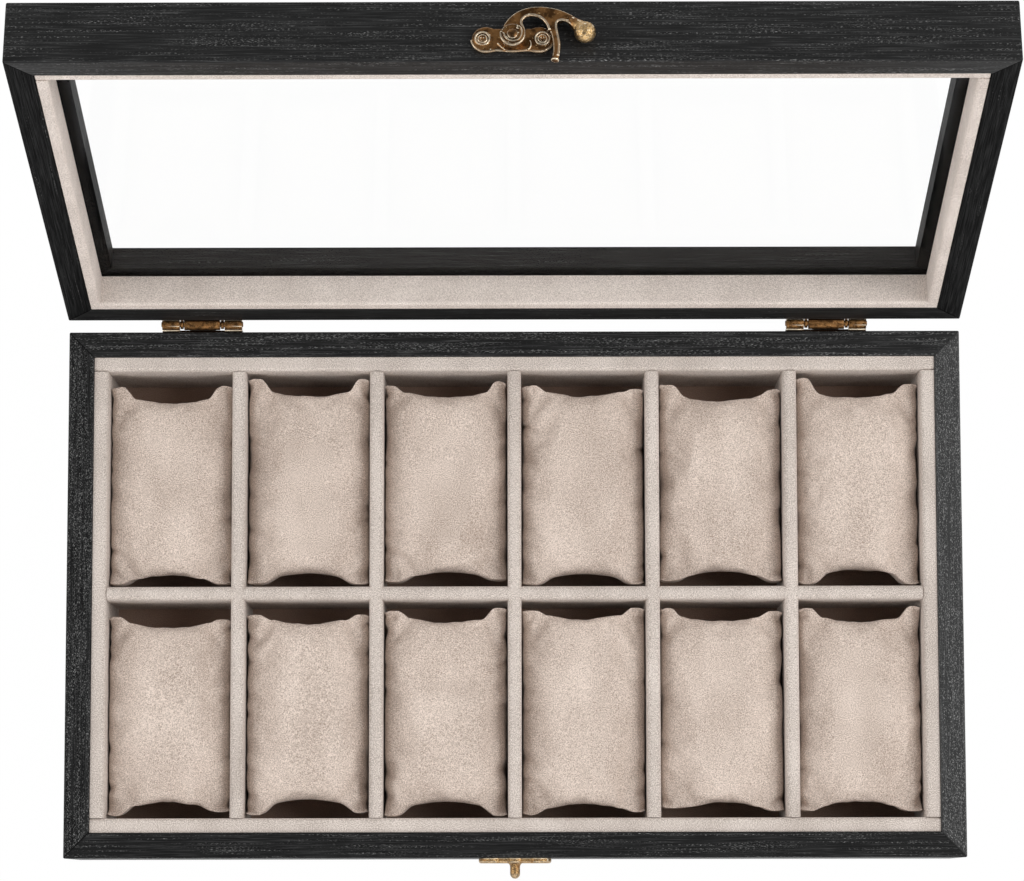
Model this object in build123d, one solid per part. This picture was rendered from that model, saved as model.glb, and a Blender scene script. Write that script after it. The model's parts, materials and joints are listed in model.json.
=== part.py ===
from build123d import *
import math
import os

# A watch box for twelve watches: a mitred case with suede-covered linings and dividers,
# a glass-topped lid on two stop hinges, a swing-hook clasp and twelve loose pillows.
# Millimetres. X runs along the box, Y runs from the clasp to the hinges, Z is up.
# The origin is the middle of the underside. The lid is drawn closed, then swung open.

# Case and lid
box_width = 340.0
box_depth = 200.0
case_height = 55.0
case_wall = 9.6
lid_height = 23.0
lid_wall = 9.6
rim_gap = 0.4
edge_ease = 0.6
open_angle = 106.8

# Bottom
felt_thickness = 1.0
felt_margin = 1.5
panel_thickness = 5.0
panel_rebate = 4.0
floor_lining_thickness = 2.0

# Covered boards inside the case
lining_thickness = 5.3
lining_drop = 1.0
lining_round = 1.6
divider_thickness = 5.2
divider_drop = 0.4
divider_round = 2.2
columns = 6
board_clearance = 0.1
lap_clearance = 0.05

# Lid window
lip_thickness = 8.7
lip_reach = 8.1
glass_thickness = 2.0
glass_clearance = 0.3
lid_lining_thickness = 3.8
lid_lining_recess = 0.3
lid_lining_round = 1.2

# Hinges
hinge_inset = 50.8
pin_standoff = 2.9
pin_radius = 1.0
pin_overhang = 0.4
pin_clearance = 0.06
barrel_radius = 2.2
outer_knuckle = 6.6
middle_knuckle = 13.6
knuckle_gap = 1.8
leaf_thickness = 1.0
leaf_length = 14.0
leaf_corner = 2.5
notch_clearance = 0.5
heel_clearance = 0.06
heel_height = 1.9
heel_thickness = 1.2
heel_drop = 1.5
leaf_screw_spacing = 18.0
leaf_screw_drop = 9.0

# Clasp
clasp_height_on_lid = 7.4
clasp_plate_thickness = 2.0
lobe_radius = 4.8
lobe_offset = 8.9
centre_radius = 4.6
waist_height = 8.2
plate_ease = 0.5
clasp_screw_spacing = 20.0
rivet_radius = 1.3
rivet_head_radius = 2.1
rivet_head_height = 0.9
rivet_length = 9.0
rivet_clearance = 0.05
hook_thickness = 2.4
hook_clearance = 0.15
boss_radius = 4.0
boss_rise = 0.6
ball_radius = 3.6
ball_reach = 24.2
ball_lift = 1.2
ball_proud = 0.5
stud_radius = 1.9
stud_length = 5.8
stud_drop = 12.2
flare_radius = 2.7
flare_height = 1.2
flare_hollow = 0.15

# Screws
screw_head_radius = 2.1
screw_head_height = 1.0
screw_shank_radius = 1.1
screw_length = 8.0
screw_tip_length = 1.65
recess_length = 2.2
recess_width = 0.5
recess_depth = 0.5

# Pillows
pillow_side_gap = 0.4
pillow_floor_gap = 0.3
pillow_end_gap = 1.55
pillow_crown_drop = 5.7
waist_draw = 5.4
flank_draw = 1.2
pillow_seam = 2.4
shoulder_in = 0.30
shoulder_up = 0.93
bulge_in = 0.085
bulge_up = 0.56
ear_place = 0.86
ear_fill = 0.80
flank_fill = 0.62
curve_place = 0.55
curve_fill = 0.95
curve_draw = 4.3

# Places worked out from the sizes above
half_width = box_width / 2
half_depth = box_depth / 2
hinge_offset = half_width - hinge_inset
lid_rim = case_height + rim_gap
lid_top = lid_rim + lid_height
panel_top = felt_thickness + panel_thickness
floor_top = panel_top + floor_lining_thickness
lining_top = case_height - lining_drop
divider_top = lining_top - divider_drop
inner_width = box_width - 2 * case_wall
inner_depth = box_depth - 2 * case_wall
bay_width = (inner_width - 2 * lining_thickness - (columns - 1) * divider_thickness) / columns
bay_depth = (inner_depth - 2 * lining_thickness - divider_thickness) / 2
column_pitch = bay_width + divider_thickness
row_offset = (bay_depth + divider_thickness) / 2
pillow_length = bay_depth - 2 * pillow_end_gap
pillow_bottom = floor_top + pillow_floor_gap
pillow_thickness = case_height - pillow_crown_drop - pillow_bottom
column_places = [(i - (columns - 1) / 2) * column_pitch for i in range(columns)]
divider_places = [(i - (columns - 2) / 2) * column_pitch for i in range(columns - 1)]
hinge_y = half_depth + pin_standoff
hinge_z = case_height + rim_gap / 2
hinge_axis = Axis((0, hinge_y, hinge_z), (1, 0, 0))
hinge_length = 2 * outer_knuckle + 2 * knuckle_gap + middle_knuckle
knuckle_centre = (middle_knuckle + outer_knuckle) / 2 + knuckle_gap
rivet_z = lid_rim + clasp_height_on_lid
stud_z = rivet_z - stud_drop
plate_face = -half_depth - clasp_plate_thickness
hook_back = plate_face - hook_clearance


def slab(x0, x1, y0, y1, z0, z1):
    """A plain block between two corners."""
    middle = Pos((x0 + x1) / 2, (y0 + y1) / 2, (z0 + z1) / 2)
    return middle * Box(x1 - x0, y1 - y0, z1 - z0)


def opened(piece):
    """Swing a piece of the lid from closed to fully open."""
    return piece.rotate(hinge_axis, -open_angle)


def edges_at(piece, height):
    """Level edges of a piece that lie at one height."""
    level = piece.edges().filter_by(Plane.XY)
    return level.filter_by_position(Axis.Z, height - 0.01, height + 0.01)


def mitred(ring, reach):
    """Cut a ring of board into front, back, left and right boards along its 45 degree mitres."""
    spare = 5.0
    far_x, far_y = half_width + spare, half_depth + spare
    near_x, near_y = half_width - reach - spare, half_depth - reach - spare
    outlines = {
        "front": [(-far_x, -far_y), (far_x, -far_y), (near_x, -near_y), (-near_x, -near_y)],
        "back": [(-far_x, far_y), (far_x, far_y), (near_x, near_y), (-near_x, near_y)],
        "left": [(-far_x, -far_y), (-far_x, far_y), (-near_x, near_y), (-near_x, -near_y)],
        "right": [(far_x, -far_y), (far_x, far_y), (near_x, near_y), (near_x, -near_y)],
    }
    boards = {}
    for name, corners in outlines.items():
        outline = make_face(Polyline(*corners, close=True))
        boards[name] = ring & extrude(outline, lid_top + spare, dir=(0, 0, 1))
    return boards


def screw(recessed=True):
    """A countersunk wood screw: head flush at the origin, shank running down Z."""
    outline = Polyline(
        (0, 0),
        (screw_head_radius, 0),
        (screw_shank_radius, -screw_head_height),
        (screw_shank_radius, -screw_length + screw_tip_length),
        (0, -screw_length),
        close=True,
    )
    body = revolve(Plane.XZ * make_face(outline), Axis.Z)
    if recessed:
        for turn in (0, 90):
            slot = Box(recess_length, recess_width, 2 * recess_depth)
            body -= Rot(0, 0, turn) * slot
    return body


def screws_at(places, recessed=True):
    """One screw at each place, given as (x, y, z, tilt about X)."""
    return [Pos(x, y, z) * Rot(tilt, 0, 0) * screw(recessed) for x, y, z, tilt in places]


def drilled(piece, blanks):
    """Cut a hole for each screw or rivet."""
    for blank in blanks:
        piece -= blank
    return piece


def both_hinges():
    """The name and centre of each hinge."""
    return (("left", -hinge_offset), ("right", hinge_offset))


def leaf_screw_places(side):
    """Screw places of both hinges, below the pins on the case (-1) or above them on the lid (1)."""
    face = half_depth + leaf_thickness
    height = hinge_z + side * leaf_screw_drop
    return [
        (centre + sign * leaf_screw_spacing / 2, face, height, -90)
        for name, centre in both_hinges()
        for sign in (-1, 1)
    ]


def plate_screw_places(height):
    """Screw places of a clasp or catch plate."""
    return [(sign * clasp_screw_spacing / 2, plate_face, height, 90) for sign in (-1, 1)]


def case_ring():
    """The four case walls as one ring, rebated underneath for the bottom panel."""
    outline = Rectangle(box_width, box_depth) - Rectangle(inner_width, inner_depth)
    ring = Pos(0, 0, felt_thickness) * extrude(outline, case_height - felt_thickness)
    corners = ring.edges().filter_by(Axis.Z).sort_by(SortBy.DISTANCE)[-4:]
    ring = fillet(corners, edge_ease)
    ring = fillet(edges_at(ring, case_height), edge_ease)
    rebate = Box(inner_width + 2 * panel_rebate, inner_depth + 2 * panel_rebate, panel_thickness)
    return ring - Pos(0, 0, felt_thickness + panel_thickness / 2) * rebate


def lid_ring():
    """The four lid rails as one ring, with a lip that frames the window."""
    wall = Rectangle(box_width, box_depth)
    wall -= Rectangle(box_width - 2 * lid_wall, box_depth - 2 * lid_wall)
    window_inset = lid_wall + lip_reach
    lip = Rectangle(box_width, box_depth)
    lip -= Rectangle(box_width - 2 * window_inset, box_depth - 2 * window_inset)
    ring = Pos(0, 0, lid_rim) * extrude(wall, lid_height)
    ring += Pos(0, 0, lid_top - lip_thickness) * extrude(lip, lip_thickness)
    corners = ring.edges().filter_by(Axis.Z).sort_by(SortBy.DISTANCE)[-4:]
    ring = fillet(corners, edge_ease)
    ring = fillet(edges_at(ring, lid_rim), edge_ease)
    return fillet(edges_at(ring, lid_top), edge_ease)


def bottom_pieces():
    """Bottom panel, the felt glued under it and the lining glued on it."""
    spread = 2 * (panel_rebate - board_clearance)
    panel = Box(inner_width + spread, inner_depth + spread, panel_thickness)
    felt = Box(box_width - 2 * felt_margin, box_depth - 2 * felt_margin, felt_thickness)
    floor = Box(
        inner_width - 2 * board_clearance,
        inner_depth - 2 * board_clearance,
        floor_lining_thickness,
    )
    return {
        "bottom_panel": Pos(0, 0, felt_thickness + panel_thickness / 2) * panel,
        "base_felt": Pos(0, 0, felt_thickness / 2) * felt,
        "floor_lining": Pos(0, 0, panel_top + floor_lining_thickness / 2) * floor,
    }


def lining_board(length, thickness, bottom, top, round_z, radius):
    """A covered board along X, its back on Y = 0 and its face towards +Y, one long edge rounded."""
    board = slab(-length / 2, length / 2, 0, thickness, bottom, top)
    edge = edges_at(board, round_z).filter_by(Axis.X).sort_by(Axis.Y)[-1]
    return fillet(edge, radius)


def around(board_long, board_short, width, depth):
    """Set long boards on the front and back and short ones on the sides, all facing inwards."""
    return {
        "front": Pos(0, -depth / 2, 0) * board_long,
        "back": Pos(0, depth / 2, 0) * Rot(0, 0, 180) * board_long,
        "left": Pos(-width / 2, 0, 0) * Rot(0, 0, -90) * board_short,
        "right": Pos(width / 2, 0, 0) * Rot(0, 0, 90) * board_short,
    }


def case_linings():
    """Four lining boards standing on the floor lining against the case walls."""
    width = inner_width - 2 * board_clearance
    depth = inner_depth - 2 * board_clearance
    between = depth - 2 * lining_thickness - 2 * board_clearance
    common = (lining_thickness, floor_top, lining_top, lining_top, lining_round)
    return around(lining_board(width, *common), lining_board(between, *common), width, depth)


def lid_linings():
    """Four lining boards that hold the glass up against the lip."""
    width = box_width - 2 * lid_wall - 2 * board_clearance
    depth = box_depth - 2 * lid_wall - 2 * board_clearance
    between = depth - 2 * lid_lining_thickness - 2 * board_clearance
    bottom = lid_rim + lid_lining_recess
    top = lid_top - lip_thickness - glass_thickness
    common = (lid_lining_thickness, bottom, top, bottom, lid_lining_round)
    return around(lining_board(width, *common), lining_board(between, *common), width, depth)


def divider_bar(length):
    """A divider along X with its top edges rounded."""
    half = divider_thickness / 2
    bar = slab(-length / 2, length / 2, -half, half, floor_top, divider_top)
    return fillet(edges_at(bar, divider_top).filter_by(Axis.X), divider_round)


def dividers():
    """One long divider and the cross dividers that lap over it at half height."""
    spare = 2 * (board_clearance + lining_thickness + board_clearance)
    long_bar = divider_bar(inner_width - spare)
    cross_bar = Rot(0, 0, 90) * divider_bar(inner_depth - spare)
    half = divider_thickness / 2
    slot = half + lap_clearance
    lap = (floor_top + divider_top) / 2
    crossing = slab(-half, half, -half, half, lap, divider_top) & divider_bar(inner_width)
    cross = cross_bar + crossing
    cross -= slab(-half, half, -slot, slot, floor_top, lap)
    pieces = {}
    for number, x in enumerate(divider_places, 1):
        long_bar -= slab(x - slot, x + slot, -half, half, lap, divider_top)
        pieces[f"cross_divider_{number}"] = Pos(x, 0, 0) * cross
    pieces["long_divider"] = long_bar
    return pieces


def glass_pane():
    """The window, laid against the underside of the lip."""
    spread = 2 * (lid_wall + glass_clearance)
    pane = Box(box_width - spread, box_depth - spread, glass_thickness)
    return Pos(0, 0, lid_top - lip_thickness - glass_thickness / 2) * pane


def rod(radius, length):
    """A round bar along X, centred on the hinge axis."""
    return Pos(0, hinge_y, hinge_z) * Rot(0, 90, 0) * Cylinder(radius, length)


def leaf(side, knuckles, hollow, notches):
    """
    A hinge leaf with its knuckles, centred on X = 0.
    side is -1 for the leaf below the pin, on the case, and 1 for the one above it, on the lid.
    knuckles and notches hold the centre and length of each along X.
    """
    z0, z1 = sorted((hinge_z, hinge_z + side * leaf_length))
    half = hinge_length / 2
    plate = slab(-half, half, half_depth, half_depth + leaf_thickness, z0, z1)
    far = hinge_z + side * leaf_length
    corners = plate.edges().filter_by(Axis.Y).filter_by_position(Axis.Z, far - 0.01, far + 0.01)
    plate = fillet(corners, leaf_corner)
    clear = barrel_radius + notch_clearance
    for centre, length in notches:
        z0, z1 = sorted((hinge_z - side * clear, hinge_z + side * clear))
        plate -= Pos(centre, 0, 0) * slab(
            -length / 2, length / 2, half_depth, half_depth + leaf_thickness, z0, z1
        )
    for centre, length in knuckles:
        near = hinge_z + side * barrel_radius
        z0, z1 = sorted((near, near - side * leaf_thickness))
        strap = slab(-length / 2, length / 2, half_depth, hinge_y, z0, z1)
        plate += Pos(centre, 0, 0) * (strap + rod(barrel_radius, length))
        plate -= Pos(centre, 0, 0) * rod(hollow, length)
    return plate


def stop_heel():
    """
    The tooth under the lid knuckle, drawn with the lid open.
    Its flat front lands on the outside of the case leaf and stops the lid.
    """
    front = half_depth + leaf_thickness + heel_clearance
    top = hinge_z - heel_drop
    outline = Polyline(
        (front, top),
        (front, top - heel_height),
        (front + heel_thickness, top - heel_height),
        (hinge_y, hinge_z - (barrel_radius + pin_radius) / 2),
        close=True,
    )
    tooth = extrude(Plane.YZ * make_face(outline), middle_knuckle / 2 - knuckle_gap, both=True)
    return tooth - rod(pin_radius + pin_clearance, middle_knuckle)


def hinges():
    """Both hinges: case leaves, lid leaves (swung open) and pins."""
    outer = [(-knuckle_centre, outer_knuckle), (knuckle_centre, outer_knuckle)]
    middle = [(0, middle_knuckle)]
    wide_outer = [(centre, outer_knuckle + 2 * knuckle_gap) for centre, length in outer]
    wide_middle = [(0, middle_knuckle + 2 * knuckle_gap)]
    case_leaf = leaf(-1, outer, pin_radius, wide_middle)
    lid_leaf = leaf(1, middle, pin_radius + pin_clearance, wide_outer)
    case_blanks = screws_at(leaf_screw_places(-1), recessed=False)
    lid_blanks = screws_at(leaf_screw_places(1), recessed=False)
    pieces = {}
    for name, centre in both_hinges():
        place = Pos(centre, 0, 0)
        pieces[f"hinge_case_leaf_{name}"] = drilled(place * case_leaf, case_blanks)
        pieces[f"hinge_lid_leaf_{name}"] = (
            opened(drilled(place * lid_leaf, lid_blanks)) + place * stop_heel()
        )
        pieces[f"hinge_pin_{name}"] = place * rod(pin_radius, hinge_length + 2 * pin_overhang)
    return pieces


def lobed_plate(height):
    """A flat plate with two round lobes and a round middle, on the front of the box."""
    outline = Rectangle(2 * lobe_offset, waist_height) + Circle(centre_radius)
    for sign in (-1, 1):
        outline += Pos(sign * lobe_offset, 0) * Circle(lobe_radius)
    plate = extrude(outline, clasp_plate_thickness)
    plate = chamfer(edges_at(plate, clasp_plate_thickness), plate_ease)
    return Pos(0, -half_depth, height) * Rot(90, 0, 0) * plate


def hook_outline():
    """The swing hook seen from the front, its pivot at the origin and its ball to the right."""
    crown_start = (-boss_radius, 0)
    crown_top = (7.6, 10.8)
    crown_end = (22.3, 5.7)
    ball_side = (20.9, 1.6)
    crotch = (14.2, 3.7)
    finger_end = (15.4, -8.2)
    finger_tip = (13.2, -8.2)
    throat_side = (12.1, 2.6)
    throat_top = (6.4, 7.9)
    root_turn = math.radians(50)
    throat_end = (boss_radius * math.cos(root_turn), boss_radius * math.sin(root_turn))
    return make_face([
        ThreePointArc(crown_start, (-0.4, 7.3), crown_top),
        ThreePointArc(crown_top, (15.8, 9.6), crown_end),
        Line(crown_end, ball_side),
        ThreePointArc(ball_side, (17.4, 5.9), crotch),
        ThreePointArc(crotch, (15.7, -2.6), finger_end),
        ThreePointArc(finger_end, (14.3, -9.3), finger_tip),
        ThreePointArc(finger_tip, (13.5, -3.0), throat_side),
        ThreePointArc(throat_side, (10.2, 6.4), throat_top),
        ThreePointArc(throat_top, (3.3, 6.3), throat_end),
        ThreePointArc(throat_end, (0, -boss_radius), crown_start),
    ])


def swing_hook():
    """The hook in its open rest position, drawn flat and then stood against the lid front."""
    hook = extrude(hook_outline(), hook_thickness)
    boss_top = hook_thickness + boss_rise
    hook += Pos(0, 0, boss_top / 2) * Cylinder(boss_radius, boss_top)
    ball_middle = ball_radius + ball_proud - clasp_plate_thickness - hook_clearance
    hook += Pos(ball_reach, ball_lift, ball_middle) * Sphere(ball_radius)
    hook -= Cylinder(rivet_radius + rivet_clearance, 4 * boss_top)
    return Pos(0, hook_back, rivet_z) * Rot(90, 0, 0) * hook


def hook_rivet():
    """The rivet that the hook turns on, run through the clasp plate into the lid."""
    reach = clasp_plate_thickness + hook_clearance + hook_thickness + boss_rise + rivet_clearance
    shank = Pos(0, 0, reach - rivet_length / 2) * Cylinder(rivet_radius, rivet_length)
    rise = rivet_head_height
    dome_radius = (rivet_head_radius ** 2 + rise ** 2) / (2 * rise)
    dome = Pos(0, 0, reach + rise - dome_radius) * Sphere(dome_radius)
    head = Pos(0, 0, reach + rise / 2) * Cylinder(rivet_head_radius, rise) & dome
    return Pos(0, -half_depth, rivet_z) * Rot(90, 0, 0) * (shank + head)


def catch_plate():
    """The plate on the case front with the stud that the hook closes round."""
    tip = stud_radius
    profile = make_face([
        Line((0, 0), (flare_radius, 0)),
        ThreePointArc(
            (flare_radius, 0),
            ((flare_radius + stud_radius) / 2 - flare_hollow, flare_height / 2 - flare_hollow),
            (stud_radius, flare_height),
        ),
        Line((stud_radius, flare_height), (stud_radius, stud_length - tip)),
        ThreePointArc(
            (stud_radius, stud_length - tip),
            (stud_radius * math.sqrt(0.5), stud_length - tip + tip * math.sqrt(0.5)),
            (0, stud_length),
        ),
        Line((0, stud_length), (0, 0)),
    ])
    stud = revolve(Plane.XZ * profile, Axis.Z)
    return lobed_plate(stud_z) + Pos(0, plate_face, stud_z) * Rot(90, 0, 0) * stud


def pillow_section(x, length, height):
    """The pillow's outline across its width at x: a flat seam at each end and a full crown."""
    end = length / 2
    seam = pillow_seam / 2
    top = height / 2
    shoulder = (end - shoulder_in * height, shoulder_up * top)
    bulge = (end - bulge_in * height, bulge_up * top)
    edges = []
    for sign in (1, -1):
        seam_low, seam_high = (sign * end, -sign * seam), (sign * end, sign * seam)
        bulge_near, bulge_far = (sign * bulge[0], sign * bulge[1]), (-sign * bulge[0], sign * bulge[1])
        near, far = (sign * shoulder[0], sign * shoulder[1]), (-sign * shoulder[0], sign * shoulder[1])
        edges += [
            Line(seam_low, seam_high),
            ThreePointArc(seam_high, bulge_near, near),
            ThreePointArc(near, (0, sign * top), far),
            ThreePointArc(far, bulge_far, (-sign * end, sign * seam)),
        ]
    return Pos(x, 0, 0) * (Plane.YZ * make_face(edges))


def pillow():
    """A stuffed pillow: its ends draw in between four corner ears, and its sides stay full."""
    side = bay_width / 2 - pillow_side_gap
    half = [
        (curve_place, curve_draw, curve_fill),
        (ear_place, 0.0, ear_fill),
        (1.0, flank_draw, flank_fill),
    ]
    rows = [(-place, draw, fill) for place, draw, fill in reversed(half)]
    rows += [(0.0, waist_draw, 1.0)] + half
    form = loft([
        pillow_section(place * side, pillow_length - 2 * draw, fill * pillow_thickness)
        for place, draw, fill in rows
    ])
    return Pos(0, 0, pillow_bottom + pillow_thickness / 2) * form


def build():
    """Every piece of the box by name, at rest with the lid open."""
    catch_blanks = screws_at(plate_screw_places(stud_z), recessed=False)
    clasp_blanks = screws_at(plate_screw_places(rivet_z), recessed=False) + [hook_rivet()]
    case_leaf_blanks = screws_at(leaf_screw_places(-1), recessed=False)
    lid_leaf_blanks = screws_at(leaf_screw_places(1), recessed=False)

    case_boards = mitred(case_ring(), case_wall)
    case_boards["front"] = drilled(case_boards["front"], catch_blanks)
    case_boards["back"] = drilled(case_boards["back"], case_leaf_blanks)
    lid_boards = mitred(lid_ring(), lid_wall + lip_reach)
    lid_boards["front"] = drilled(lid_boards["front"], clasp_blanks)
    lid_boards["back"] = drilled(lid_boards["back"], lid_leaf_blanks)

    pieces = {}
    for name, board in case_boards.items():
        pieces[f"case_{name}_wall"] = board
    for name, board in lid_boards.items():
        pieces[f"lid_{name}_rail"] = opened(board)
    pieces.update(bottom_pieces())
    for name, board in case_linings().items():
        pieces[f"case_lining_{name}"] = board
    pieces.update(dividers())
    for name, board in lid_linings().items():
        pieces[f"lid_lining_{name}"] = opened(board)
    pieces["glass_pane"] = opened(glass_pane())
    pieces.update(hinges())
    pieces["hinge_case_screws"] = Compound(children=screws_at(leaf_screw_places(-1)))
    pieces["hinge_lid_screws"] = opened(Compound(children=screws_at(leaf_screw_places(1))))
    pieces["clasp_plate"] = opened(drilled(lobed_plate(rivet_z), clasp_blanks))
    pieces["clasp_screws"] = opened(Compound(children=screws_at(plate_screw_places(rivet_z))))
    pieces["hook_rivet"] = opened(hook_rivet())
    pieces["swing_hook"] = opened(swing_hook())
    pieces["catch_plate"] = drilled(catch_plate(), catch_blanks)
    pieces["catch_screws"] = Compound(children=screws_at(plate_screw_places(stud_z)))
    cushion = pillow()
    for row, y in (("back", row_offset), ("front", -row_offset)):
        for number, x in enumerate(column_places, 1):
            pieces[f"pillow_{row}_{number}"] = Pos(x, y, 0) * cushion
    return pieces


os.makedirs("parts", exist_ok=True)
for piece_name, piece in build().items():
    export_step(piece, f"parts/{piece_name}.step")
print(f"bay {bay_width:.2f} wide, {bay_depth:.2f} deep, floor at {floor_top:.2f}")
print(f"hinge axis y {hinge_y:.2f} z {hinge_z:.2f}, rivet z {rivet_z:.2f}, stud z {stud_z:.2f}")
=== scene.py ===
# %% [markdown]
# # A watch box with its lid open
#
# The real object is a long black box for twelve watches. Its boards are veneered in
# open-pored black wood and mitred at the corners, the inside is covered in beige suede,
# a glass-topped lid swings on two small bronze hinges, and a bronze hook closes it.
# Twelve stuffed suede pillows lie in the bays.
#
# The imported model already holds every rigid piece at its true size. This lesson dresses
# it: it gives each piece its finish, and models again the pieces whose real form is soft
# or cast, such as the pillows, the hook and its plates.

import json
import math

import bmesh
import bpy
from mathutils import Matrix, Vector, noise

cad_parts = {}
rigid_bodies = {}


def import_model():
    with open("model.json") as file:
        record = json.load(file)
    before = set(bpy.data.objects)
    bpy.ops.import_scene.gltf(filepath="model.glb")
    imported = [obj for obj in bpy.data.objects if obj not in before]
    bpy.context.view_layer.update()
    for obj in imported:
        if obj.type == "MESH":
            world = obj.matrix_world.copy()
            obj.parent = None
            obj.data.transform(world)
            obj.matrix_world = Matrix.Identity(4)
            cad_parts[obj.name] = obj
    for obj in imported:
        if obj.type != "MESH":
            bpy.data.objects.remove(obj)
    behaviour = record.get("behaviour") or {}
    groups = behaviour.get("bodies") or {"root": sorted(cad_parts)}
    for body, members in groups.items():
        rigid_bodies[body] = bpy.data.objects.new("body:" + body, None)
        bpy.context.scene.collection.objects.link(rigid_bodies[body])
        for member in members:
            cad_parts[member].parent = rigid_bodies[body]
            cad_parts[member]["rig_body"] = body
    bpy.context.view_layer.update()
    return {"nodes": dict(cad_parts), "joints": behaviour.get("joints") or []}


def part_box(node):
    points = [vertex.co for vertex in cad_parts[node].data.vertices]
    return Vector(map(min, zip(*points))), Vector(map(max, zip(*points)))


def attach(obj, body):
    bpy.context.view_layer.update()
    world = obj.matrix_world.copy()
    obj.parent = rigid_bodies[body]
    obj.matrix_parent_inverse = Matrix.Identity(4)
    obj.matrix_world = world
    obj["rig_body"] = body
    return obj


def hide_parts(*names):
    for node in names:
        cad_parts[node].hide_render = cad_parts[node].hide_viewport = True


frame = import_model()
nodes = frame["nodes"]
print("pieces in the packed model:", len(nodes))

# %% [markdown]
# ## Units and the lid's own frame
#
# Blender counts in metres, but small woodwork is easier to think about in millimetres, so
# a size below is written as a number times MM, or stands in a table of millimetres.
#
# The lid is packed wide open. A finish or a piece for the lid is far easier to lay out
# with the lid closed, square to the box. The joint says where the hinge axis runs and how
# far the lid is open, so one matrix carries anything from closed to open.

# %% The hinge, and the turn that opens the lid
MM = 0.001
joints = {joint["name"]: joint for joint in frame["joints"]}
lid_hinge = joints["lid_hinge"]
hinge_point = Vector(lid_hinge["pos_m"])
hinge_line = Vector(lid_hinge["axis"])
open_angle = math.radians(abs(lid_hinge["range_deg"][0]))
to_hinge = Matrix.Translation(hinge_point)
open_lid = to_hinge @ Matrix.Rotation(open_angle, 4, hinge_line) @ to_hinge.inverted()
close_lid = open_lid.inverted()
print("lid opened by", round(math.degrees(open_angle), 1), "degrees about", tuple(hinge_point))

# %% [markdown]
# ## The camera first
#
# The photograph is taken from far away, almost straight above and a little in front, so
# the box hardly narrows towards the back. The four corners of the case rim and of the lid
# were matched to real sizes, which gave the place, the long lens and the tilt.
# Everything that follows can then be judged in the same picture.

# %% Camera
picture_width = 1024
sensor_width = 36.0
lens_in_pixels = 3759.0
camera_place = Vector((2.8, -113.9, 1476.4)) * MM
camera_turn = [math.radians(angle) for angle in (6.896, 0.160, -0.096)]

camera_data = bpy.data.cameras.new("camera")
camera_data.sensor_fit = "HORIZONTAL"
camera_data.sensor_width = sensor_width
camera_data.lens = lens_in_pixels * sensor_width / picture_width
camera = bpy.data.objects.new("camera", camera_data)
camera.location = camera_place
camera.rotation_euler = camera_turn
bpy.context.scene.collection.objects.link(camera)
bpy.context.scene.camera = camera
print("lens", round(camera_data.lens, 1), "mm")

# %% [markdown]
# ## A white floor and a studio
#
# The box lies on white paper under soft light. The paper is a wide plane: to the camera,
# and in reflections and through the glass, most of it glows at plain white, and the small
# rest is matt paper that keeps the box's shadow. The lamps stay at a plain level, so that
# a colour comes out about as it is written.

# %% Floor
floor_side = 6.0
paper_white = (0.95, 0.95, 0.95, 1.0)
paper_glow = 0.995


def new_object(name, mesh):
    """Link a mesh to the scene as an object at the origin."""
    thing = bpy.data.objects.new(name, mesh)
    bpy.context.scene.collection.objects.link(thing)
    return thing


def made_mesh(name, shape):
    """Turn a bmesh into a mesh."""
    mesh = bpy.data.meshes.new(name)
    shape.to_mesh(mesh)
    shape.free()
    return mesh


def glow_share(tree):
    """One for camera, mirror and see-through rays, and nought for light that bounces about."""
    path = tree.nodes.new("ShaderNodeLightPath")
    either = tree.nodes.new("ShaderNodeMath")
    either.operation = "MAXIMUM"
    tree.links.new(path.outputs["Is Camera Ray"], either.inputs[0])
    tree.links.new(path.outputs["Is Transmission Ray"], either.inputs[1])
    any_ray = tree.nodes.new("ShaderNodeMath")
    any_ray.operation = "MAXIMUM"
    tree.links.new(either.outputs[0], any_ray.inputs[0])
    tree.links.new(path.outputs["Is Glossy Ray"], any_ray.inputs[1])
    return any_ray.outputs[0]


def paper_material():
    """White paper that shows plain white and still keeps a shadow."""
    material = bpy.data.materials.new("white_paper")
    material.use_nodes = True
    tree = material.node_tree
    tree.nodes.clear()
    matt = tree.nodes.new("ShaderNodeBsdfDiffuse")
    matt.inputs["Color"].default_value = paper_white
    glow = tree.nodes.new("ShaderNodeEmission")
    glow.inputs["Strength"].default_value = 1.0
    share = tree.nodes.new("ShaderNodeMath")
    share.operation = "MULTIPLY"
    share.inputs[1].default_value = paper_glow
    tree.links.new(glow_share(tree), share.inputs[0])
    mix = tree.nodes.new("ShaderNodeMixShader")
    tree.links.new(share.outputs[0], mix.inputs["Fac"])
    tree.links.new(matt.outputs[0], mix.inputs[1])
    tree.links.new(glow.outputs[0], mix.inputs[2])
    output = tree.nodes.new("ShaderNodeOutputMaterial")
    tree.links.new(mix.outputs[0], output.inputs["Surface"])
    return material


paper_shape = bmesh.new()
bmesh.ops.create_grid(paper_shape, x_segments=1, y_segments=1, size=floor_side / 2)
paper = new_object("paper", made_mesh("paper", paper_shape))
paper.data.materials.append(paper_material())
print("paper", floor_side, "m wide")

# %% World and lamps
room_low_light = 0.62
room_high_light = 0.29
high_from, high_to = 0.35, 0.95
aim = Vector((0.0, 0.03, 0.05))
lamps = {
    # place, width and height, and power in watts
    "right_lamp": (Vector((1.20, 0.30, 1.45)), (0.9, 1.1), 17.6),
    "left_lamp": (Vector((-1.35, 0.10, 1.05)), (1.0, 1.0), 9.0),
    "front_lamp": (Vector((0.10, -1.80, 1.40)), (1.8, 1.1), 14.0),
}


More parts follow.
